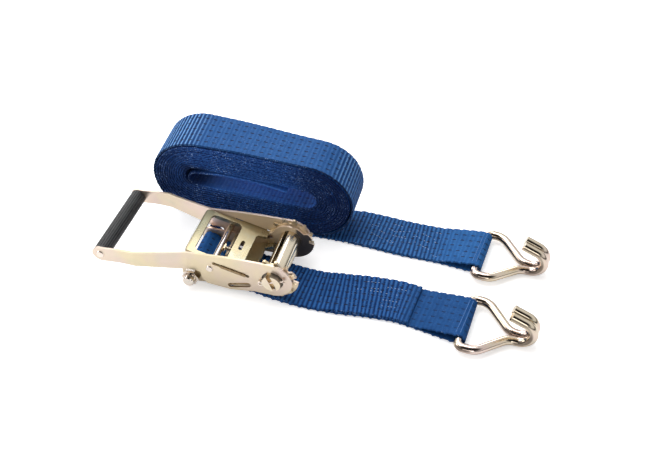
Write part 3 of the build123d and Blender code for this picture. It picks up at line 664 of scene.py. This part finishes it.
def ribbon_faces(stations, across):
    """Quads along the ribbon, quads closing both ends, and n-gons at the selvage ends."""
    ring = 2 * (across + EDGE_POINTS)
    start = np.arange(stations - 1)[:, None] * ring
    here = np.arange(ring)[None]
    after = (here + 1) % ring
    sides = np.stack([start + here, start + after, start + ring + after, start + ring + here],
                     -1).reshape(-1, 4)
    top = np.arange(across)
    bottom = across + EDGE_POINTS + (across - 1 - top)
    cap = np.stack([top[:-1], bottom[:-1], bottom[1:], top[1:]], 1)
    right = np.arange(across - 1, across + EDGE_POINTS + 1)
    left = np.arange(ring - EDGE_POINTS - 1, ring + 1) % ring
    last = (stations - 1) * ring
    caps = np.concatenate([cap, cap[:, ::-1] + last])
    return sides, caps, [right[::-1], left[::-1], right + last, left + last]


def ribbon(name, line, heading, s, material, body, across, crinkle, s0=0.0, half=HALF_WIDTH,
           thick=THICK, shear_end=0.0, scallop=0.85, warp=None):
    """Closed webbing mesh along a centre line; s0 is the strap's length before it."""
    stations = len(line)
    along, sideways, out = strap_frame(line, heading)
    ring_v, ring_h, face, edge = cross_section(across, half, thick)
    shape = (stations, len(ring_v))
    S = np.broadcast_to((s + s0)[:, None], shape)
    V = np.broadcast_to(ring_v[None], shape)
    C = np.broadcast_to(np.reshape(crinkle, (-1, 1)), shape)
    upper = relief(S, V, C, 0.0)
    lower = relief(S, V, C, RIB / 2)
    woven = np.where(face > 0.5, upper, np.where(face < -0.5, -lower, 0.0))
    H = ring_h[None] + woven * (1 - edge[None] ** 2)
    # selvage: a little thicker cord at each edge, scalloped by the weft
    cord = np.exp(-((np.abs(V) - (half - 1.6)) / 1.3) ** 2)
    H = H + np.sign(ring_h)[None] * cord * 0.07
    waves = scallop * (np.cos(2 * np.pi * S / DASH + np.where(V > 0, 1.3, 0.0)) * 0.6
                       + 0.4 * np.cos(2 * np.pi * S / RIB))
    drift = wander(s + s0, 5, 17.0, 0.22)[:, None]
    near_edge = np.clip(np.abs(V) - 18, 0, 7) / 7
    width = V + np.sign(V) * near_edge * (waves + drift - scallop * 0.5)
    X = (line[:, None, :] + sideways[:, None, :] * width[..., None]
         + out[:, None, :] * H[..., None])
    if shear_end:
        # slant the last 14 mm
        f = np.clip(1 - (s[-1] - s) / 14.0, 0, 1) ** 1.5
        X = X + along[:, None, :] * (f[:, None] * (V / half) * shear_end)[..., None]
    if warp is not None:
        X = warp(X, V / half)

    verts = to_metres(X.reshape(-1, 3)).astype(np.float32)
    sides, caps, ngons = ribbon_faces(stations, across)
    loops = np.concatenate([sides.ravel(), caps.ravel(), *ngons]).astype(np.int32)
    quad_count = len(sides) + len(caps)
    sizes = np.array([4] * quad_count + [len(ngon) for ngon in ngons])
    starts = np.concatenate([[0], np.cumsum(sizes)[:-1]]).astype(np.int32)
    mesh = bpy.data.meshes.new(name)
    mesh.vertices.add(len(verts))
    mesh.vertices.foreach_set("co", verts.ravel())
    mesh.loops.add(len(loops))
    mesh.loops.foreach_set("vertex_index", loops)
    mesh.polygons.add(len(sizes))
    mesh.polygons.foreach_set("loop_start", starts)
    mesh.polygons.foreach_set("use_smooth", np.arange(len(sizes)) < len(sides))
    mesh.update(calc_edges=True)
    mesh.validate()
    edges = np.broadcast_to(edge[None], shape)
    for key, values in (("ws", S), ("wv", V), ("we", edges), ("wc", C)):
        attribute = mesh.attributes.new(key, "FLOAT", "POINT")
        attribute.data.foreach_set("value", np.ascontiguousarray(values, dtype=np.float32).ravel())
    mesh.materials.append(material)
    return add_webbing(name, mesh, body)


def surface_of(line, heading, s, sign):
    """Function giving points and normals of a ribbon's face at (s, v)."""
    _, sideways, out = strap_frame(line, heading)

    def at(where, v):
        point, side, normal = (
            np.stack([np.interp(where, s, column) for column in rows.T], 1)
            for rows in (line, sideways, out * sign))
        return point + side * np.asarray(v)[:, None] + normal * (THICK / 2), normal

    return at


def stitches(name, runs, surface, body, radius=0.28, pitch=3.4, length=1.75, tone=None):
    """Rows of stitches; each run is its (s, v) points and the share of pale stitches, painted
    glints.
    """
    RINGS, SIDES = 6, 6
    thickness = radius * np.array([0.6, 0.95, 1.0, 1.0, 0.95, 0.6])
    lift = 0.34 * np.sin(np.pi * np.linspace(0.06, 0.94, RINGS)) - 0.10
    verts, faces, tones = [], [], []
    random = np.random.RandomState(3)
    for points, glint_share in runs:
        points = np.array(points, float)
        gaps = np.linalg.norm(np.diff(points, axis=0), axis=1)
        run = np.concatenate([[0], np.cumsum(gaps)])
        for k in range(int(run[-1] / pitch)):
            begin = k * pitch + 0.4
            u = np.linspace(begin, begin + length, RINGS)
            centre, normal = surface(np.interp(u, run, points[:, 0]),
                                     np.interp(u, run, points[:, 1]))
            centre = centre + normal * lift[:, None]
            along = np.gradient(centre, axis=0)
            along /= np.linalg.norm(along, axis=1)[:, None]
            side = np.cross(along, normal)
            base = len(verts)
            for i in range(RINGS):
                for j in range(SIDES):
                    a = 2 * np.pi * j / SIDES
                    spoke = side[i] * math.cos(a) + normal[i] * 0.8 * math.sin(a)
                    verts.append(centre[i] + spoke * thickness[i])
            for i in range(RINGS - 1):
                here, after = base + i * SIDES, base + (i + 1) * SIDES
                for j in range(SIDES):
                    j2 = (j + 1) % SIDES
                    faces.append((here + j, here + j2, after + j2, after + j))
            faces.append(tuple(base + j for j in reversed(range(SIDES))))
            faces.append(tuple(base + (RINGS - 1) * SIDES + j for j in range(SIDES)))
            own = tone
            if own is None:
                own = 1.0 if random.rand() < glint_share else 0.0
            tones += [own] * (RINGS * SIDES)
    mesh = bpy.data.meshes.new(name)
    mesh.from_pydata(to_metres(np.array(verts)).tolist(), [], faces)
    attribute = mesh.attributes.new("tw", "FLOAT", "POINT")
    attribute.data.foreach_set("value", np.array(tones, np.float32))
    mesh.polygons.foreach_set("use_smooth", np.ones(len(faces), bool))
    mesh.materials.append(THREAD)
    add_webbing(name, mesh, body)


def eye_stitches(name, length_at, starts, skew, surface, body):
    """Raised lines of stitching across the strap before the hook fold."""
    runs = [([(length_at(x), -23.0), (length_at(x + skew), 23.0)], 0.0) for x in starts]
    stitches(name, runs, surface, body, radius=0.50, pitch=3.0, length=2.9, tone=0.5)


# ------------------------------------------------------------------ short strap
SHORT_PLAN = [          # x, y
    (-100, 0), (-62, 0), (-45, -0.6), (-22, -3.6), (5, -8.2), (32, -10.4), (60, -9.6),
    (95, -5.8), (128, -5.0), (150, -8.3), (170, -11.6), (190.5, -15.4), (207, -17.2)]
SHORT_HEADING = [       # x, degrees
    (-70, 0), (-50, -2.0), (-10, -4.5), (20, -4.0), (60, 2.0), (110, 2.5), (140, 0.0),
    (165, -5.0), (185, -5.0)]
SHORT_CRINKLE = [       # x, crinkle
    (-95, 0.45), (-60, 0.6), (40, 0.95), (100, 1.0), (136, 0.75), (143, 0.3), (205, 0.2)]
# pale stitches in these rows are painted glints on the blue thread
SHORT_PALE_ROWS = [     # v, x from, x to, share of pale stitches
    (17.5, 88, 107, 0.85), (13.2, 108, 130, 1.0), (8.8, 92, 103, 1.0), (5.4, 79, 88, 0.9),
    (5.0, 92, 108, 0.7), (4.4, 108, 122, 0.35), (-4.6, 106, 125, 0.9), (-12.5, 106, 125, 0.95)]
SHORT_BLUE_ROWS = (-19.0, -14.0, -9.0, -1.5, 1.5, 11.0, 20.5)    # v


def short_strap_path():
    """Second ply to the hook eye, floor ply back to the bolt eye, then the sewn-down end."""
    path = line_xz((58, PLY_2), (SHORT_HOOK_X - 44.0, PLY_2))
    path += hook_fold(SHORT_HOOK_X, bottom_run=26.0)
    floor_end, upper_start = (-66.0, PLY_1), (-60.0, PLY_2)
    path += line_xz((SHORT_HOOK_X - 26.0, PLY_1), floor_end)
    bolt = BOLT_X, BOLT_Z
    on, on_angle = tangent(bolt, BOLT_EYE, floor_end, upper=False)
    off, off_angle = tangent(bolt, BOLT_EYE, upper_start, upper=True)
    path += line_xz(floor_end, on)
    path += arc_xz(bolt, BOLT_EYE, on_angle % (2 * math.pi), off_angle, 60)
    path += line_xz(off, upper_start)
    run = [upper_start, (44.0, PLY_2), (60.0, PLY_3), (140.4, PLY_3)]
    for p, q in zip(run, run[1:]):
        path += line_xz(p, q)
    return path


def build_short_strap():
    line, s = centre_line(short_strap_path(), plan(SHORT_PLAN))
    x = line[:, 0]
    heading = at_stations(SHORT_HEADING, x)
    crinkle = np.where(line[:, 2] > 7.6, 0.12, at_stations(SHORT_CRINKLE, x))
    # small waves, the same in every ply
    line[:, 2] += np.where((x > -50) & (x < 140), wander(x, 11, 23.0, 0.05), 0.0)
    strap = ribbon("short_strap_webbing", line, heading, s, WEB_SHORT, "short_strap", across=58,
                   crinkle=crinkle, shear_end=-1.7, half=26.3)
    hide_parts("short_webbing")

    surface = surface_of(line, heading, s, 1.0)
    top = s > s[-1] - 150
    turn = int(np.argmax(x)) + 1

    def top_length(at):
        return float(np.interp(at, x[top], s[top]))

    def eye_length(at):
        return float(np.interp(at, x[:turn], s[:turn]))

    runs = [([(top_length(x0), v), (top_length(x1), v + 0.6)], pale)
            for v, x0, x1, pale in SHORT_PALE_ROWS]
    runs += [([(top_length(70), v), (top_length(133), v + 0.4)], 0.03) for v in SHORT_BLUE_ROWS]
    stitches("short_strap_stitching", runs, surface, "short_strap")
    eye_stitches("short_eye_stitching", eye_length, (188.4, 191.6), 0.4, surface, "short_strap")


# ------------------------------------------------------------------ long strap: eye and tail
TAIL_END_X = -30.0      # where the tail meets the roll
ROLL_Y = 91.4
LONG_PLAN = [           # x, y
    (-200, ROLL_Y), (-110, ROLL_Y), (-20, ROLL_Y), (20, 92.3), (47, 92.4), (75, 91.0),
    (112, 88.2), (150, 87.5), (172, 86.0), (192.3, 83.4), (210, 81.6)]
LONG_HEADING = [        # x, degrees
    (0, 0), (40, -1.0), (80, -3.0), (120, -1.0), (150, 1.0), (180, -4.0), (195, -6.0)]
LONG_CRINKLE = [        # x, crinkle
    (-30, 0.8), (60, 1.0), (120, 1.0), (150, 0.7), (165, 0.25), (205, 0.2)]
ZIGZAG = [(70, 8), (84, -1), (98, -9), (110, 0), (122, 8), (134, -2), (146, -10)]   # x, swing
# pale stitches in this table and the next are painted glints on the blue thread
ZIGZAG_ROWS = [(9.0, 0.5), (0.0, 0.45), (-9.0, 0.5)]    # v, share of pale stitches
LONG_ROWS = [           # x from, x to, v, share of pale stitches
    (94, 106, 15.5, 1.0), (141, 151, 16.0, 0.9), (70, 82, 7.0, 0.9), (96, 113, -2.0, 1.0),
    (96, 106, -11.0, 0.9), (78, 84, -17.0, 0.8), (144, 152, -20.0, 0.9), (142, 150, 1.0, 0.6)]


def build_tail():
    """The sewn eye and the tail; returns its length."""
    path = line_xz((52, PLY_1), (LONG_HOOK_X - 24.0, PLY_1))
    path += hook_fold(LONG_HOOK_X, bottom_run=24.0)[::-1]
    run = [(LONG_HOOK_X - 44.0, PLY_2), (58.0, PLY_2), (46.0, PLY_1), (TAIL_END_X, PLY_1)]
    for p, q in zip(run, run[1:]):
        path += line_xz(p, q)
    line, s = centre_line(path, plan(LONG_PLAN))
    x = line[:, 0]
    heading = at_stations(LONG_HEADING, x)
    tail = ribbon("long_strap_tail", line, heading, s, WEB_TAIL, "long_strap", across=58,
                  crinkle=at_stations(LONG_CRINKLE, x), half=26.6)
    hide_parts("long_webbing")

    surface = surface_of(line, heading, s, -1.0)
    turn = int(np.argmax(x))

    def length_at(at):
        return float(np.interp(-at, -x[turn:], s[turn:]))

    runs = [([(length_at(at), v + swing * 0.55) for at, swing in ZIGZAG], pale)
            for v, pale in ZIGZAG_ROWS]
    runs += [([(length_at(x0), v), (length_at(x1), v - 0.7)], pale)
             for x0, x1, v, pale in LONG_ROWS]
    stitches("long_strap_stitching", runs, surface, "long_strap")
    eye_stitches("long_eye_stitching", length_at, (189.2, 192.4), 0.8, surface, "long_strap")
    return s[-1]


# ------------------------------------------------------------------ long strap: the roll
TURNS = 14
# end arcs of the outlines: x, z, radius; each pair is the outermost and innermost ply
LEFT_ARC = (-116.0, 51.5, 51.5), (-117.4, 57.5, 10.5)
RIGHT_ARC = (6.5, 48.0, 48.0), (3.4, 51.5, 10.5)
ARC_SHARE = 0.22        # share of a turn spent on each end arc
# crinkle deepens the ribs, and on the roll also sets the painted highlight on the rib tops and the
# painted shade in their grooves
ROLL_CRINKLE = [        # length along the outer turn, crinkle
    (0, 0.5), (90, 0.5), (125, 0.6), (152, 0.86), (215, 0.90), (236, 0.74), (254, 0.52),
    (285, 0.34), (345, 0.26), (372, 0.42), (398, 0.70), (418, 0.68), (440, 0.50), (500, 0.5),
    (640, 0.5)]


def roll_point(turn, depth):
    """Point of the outline: up the left arc, along the top, down the right arc and back."""
    left, right = ([a * (1 - depth) + b * depth for a, b in zip(*arc)]
                   for arc in (LEFT_ARC, RIGHT_ARC))
    top = math.radians(90 - 3.27 + 0.4 * depth)
    bottom = math.radians(270 - 2.8 * depth)

    def on_arc(arc, a):
        return arc[0] + arc[2] * math.cos(a), arc[1] + arc[2] * math.sin(a)

    f = turn % 1.0
    if f < ARC_SHARE:
        return on_arc(left, bottom + (top - bottom) * f / ARC_SHARE)
    if f < 0.5:
        k = (f - ARC_SHARE) / (0.5 - ARC_SHARE)
        p, q = on_arc(left, top), on_arc(right, top)
    elif f < 0.5 + ARC_SHARE:
        return on_arc(right, top + (bottom - 2 * math.pi - top) * (f - 0.5) / ARC_SHARE)
    else:
        k = (f - 0.5 - ARC_SHARE) / (0.5 - ARC_SHARE)
        p, q = on_arc(right, bottom), on_arc(left, bottom)
    return p[0] + (q[0] - p[0]) * k, p[1] + (q[1] - p[1]) * k


def plies_in(turn):
    """Plies in from the outside; the first turn steps in by one over its second half."""
    if turn < 0.5:
        return 0.0
    if turn < 0.93:
        return smoothstep((turn - 0.5) / 0.43)
    return 1.0 + (turn - 0.93) * (TURNS - 1.0 - 0.9) / (TURNS - 0.93)


def roll_spiral():
    """Points and turn counts of the spiral, from the outside in."""
    points, turns = [], []
    steps = TURNS * 460
    middle_x, middle_z = -56.0, 52.0
    for i in range(steps + 1):
        turn = TURNS * i / steps
        x, z = roll_point(turn, (plies_in(turn) + 0.5) / TURNS)
        if turn > 1:
            # plies bunch and open a little
            dx, dz = x - middle_x, z - middle_z
            swell = 0.22 * math.sin(2 * math.pi * turn + 0.9) * math.sin(0.9 * turn + 0.4)
            swell *= 0.4 / math.hypot(dx, dz)
            x += dx * swell
            # the height follows the moved x
            z += dz / math.hypot(dx, dz) * swell * math.hypot(dx, dz)
        points.append((x, z))
        turns.append(turn)
    return points, turns


def inner_end(start):
    """The inner end doubles back through the open core and lies loose in it."""
    fold = 8.8
    centre = start[0], start[1] + fold
    points = arc_xz(centre, fold, math.radians(270), math.radians(95), 36)[1:]
    x0, z0 = points[-1]
    for t in np.linspace(0.02, 1, 70):
        x = x0 + (-15.5 - x0) * t
        raised = 66.6 - 0.05 * (x + 117.0)
        z = z0 + (raised - z0) * smoothstep(np.clip((x - x0) / 34.0, 0, 1))
        droop = np.clip((x + 62.0) / 46.5, 0, 1)
        points.append((x, z - 5.2 * droop ** 1.6))
    return points


def slump(X, q):
    """Tilt the left end up at its far side and bulge the middle; q is -1 near to 1 far."""
    x, up = X[..., 0], np.clip(X[..., 2] / 100.0, 0, 1)
    left = np.clip(-x / 120.0, 0, 1) ** 1.3
    bulge = 1.6 * np.exp(-((x + 66) / 48.0) ** 2)
    z = X[..., 2] + up * (left * (3.4 * q - 0.4) + bulge)
    stretched = x - 2.0 * np.clip((-x - 96) / 60.0, 0, 1) + 2.6 * np.clip((x + 16) / 60.0, 0, 1)
    return np.stack([stretched, X[..., 1], z], -1)


def build_roll(tail_length):
    """A flat spiral: the outer turn finely woven, the inner turns coarser."""
    lead = line_xz((TAIL_END_X, PLY_1), (-114.0, PLY_1))[:-1]
    spiral, turns = roll_spiral()
    loose = inner_end(spiral[-1])
    turns = [-1.0] * len(lead) + turns + [TURNS + 1e-3] * len(loose)
    rows = [(x, ROLL_Y, z, turn) for (x, z), turn in zip(lead + spiral + loose, turns)]
    rows, s = resample(rows, 1.0)
    turn = rows[:, 3]
    line = smooth(rows[:, :3], 2)
    drift = 0.55 * wander(s, 21, 90.0, 1.0) + 0.25 * wander(s, 22, 21.0, 1.0)
    line[:, 1] += np.where(turn < 0.6, drift * 0.35, drift)

    cut = int(np.searchsorted(turn, 0.98))
    outer, outer_s = resample(line[:cut + 1], 0.75)
    piece = ribbon("long_strap_roll_outer", outer, np.zeros(len(outer)), outer_s, WEB_ROLL,
                   "long_strap", across=58, s0=tail_length,
                   crinkle=at_stations(ROLL_CRINKLE, outer_s), scallop=0.45, warp=slump)
    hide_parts("long_webbing")
    inner = line[cut:]
    piece = ribbon("long_strap_roll_inner", inner, np.zeros(len(inner)), s[cut:] - s[cut],
                   WEB_INNER, "long_strap", across=9, s0=tail_length + outer_s[-1],
                   crinkle=0.6, thick=2.2, scallop=0.55, warp=slump)
    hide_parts("long_webbing")


build_short_strap()
build_roll(build_tail())


# ------------------------------------------------------------------ floor, light, camera
def build_floor():
    """White floor just under the parts, brighter to the camera than to reflections."""
    size = 6.0
    z = cad_lo.z - 0.0002
    mesh = bpy.data.meshes.new("floor")
    corners = [(-size, -size, z), (size, -size, z), (size, size, z), (-size, size, z)]
    mesh.from_pydata(corners, [], [(0, 1, 2, 3)])
    floor = bpy.data.objects.new("floor", mesh)
    bpy.context.scene.collection.objects.link(floor)
    g = Graph(bpy.data.materials.new("floor_white"))
    g.set("Base Color", (0.95, 0.95, 0.95))
    g.set("Emission Color", (1.0, 1.0, 1.0))
    seen = g.node("LightPath").outputs["Is Camera Ray"]
    g.set("Emission Strength", g.mul_add(seen, by=0.42, plus=0.03))
    g.set("Roughness", 0.85)
    g.set("Specular IOR Level", 0.1)
    mesh.materials.append(g.owner)


def build_world():
    """White room with a dark patch high in front and a dim horizon, for the reflections."""
    world = bpy.data.worlds.new("studio")
    bpy.context.scene.world = world
    g = Graph(world, output="OutputWorld", shader="Background")
    direction = g.node("TexCoord").outputs["Generated"]
    patch = g.ramp(g.dot(direction, (0.150, -0.570, 0.808)), over=(0.64, 0.91), to=(1.0, 0.03))
    horizon = g.ramp(g.xyz(direction)[2], over=(0.05, 0.36), to=(0.12, 1.0))
    strength = g.mul(patch, horizon, 0.80)
    # the camera itself sees an even pale backdrop
    seen = g.node("LightPath").outputs["Is Camera Ray"]
    g.set("Strength", g.node("MapRange", {0: seen, 3: strength, 4: 0.93}).outputs[0])
    g.set("Color", (1.0, 1.0, 1.0))


def area(name, place, target, size, power):
    light = bpy.data.lights.new(name, "AREA")
    light.energy = power
    light.shape = "RECTANGLE"
    light.size, light.size_y = size
    lamp = bpy.data.objects.new(name, light)
    lamp.location = place
    lamp.rotation_mode = "QUATERNION"
    lamp.rotation_quaternion = (Vector(target) - Vector(place)).to_track_quat("-Z", "Y")
    bpy.context.scene.collection.objects.link(lamp)


def build_camera():
    data = bpy.data.cameras.new("camera")
    data.sensor_fit = "HORIZONTAL"
    data.sensor_width = 36.0
    data.lens = 46.73
    data.clip_start, data.clip_end = 0.01, 50.0
    right = Vector((0.96308522, 0.26915527, -0.00472206))
    up = Vector((-0.18185345, 0.66343722, 0.72579637))
    back = Vector((0.19848471, -0.69814504, 0.6878934))
    place = Vector((0.2033047, -0.5674695, 0.6338892 + FLOOR_Z))
    camera = bpy.data.objects.new("camera", data)
    turn = Matrix((right, up, back)).transposed().to_4x4()
    camera.matrix_world = Matrix.Translation(place) @ turn
    bpy.context.scene.collection.objects.link(camera)
    bpy.context.scene.camera = camera


build_floor()
build_world()
area("key_overhead", place=(-0.25, 0.35, 1.15), target=(0.02, 0.05, 0.02), size=(1.25, 0.95),
     power=11.6)
area("fill_left", place=(-1.1, -0.35, 0.55), target=(0.0, 0.05, 0.03), size=(0.6, 0.6), power=4.0)
area("back_strip", place=(-0.55, 1.25, 0.55), target=(-0.05, 0.08, 0.03), size=(1.6, 0.38),
     power=7.4)
area("front_low", place=(0.3, -1.2, 0.35), target=(0.02, 0.0, 0.03), size=(0.8, 0.4), power=3.0)
build_camera()
bpy.context.scene.view_settings.view_transform = "Standard"
bpy.context.scene.view_settings.exposure = 0.0
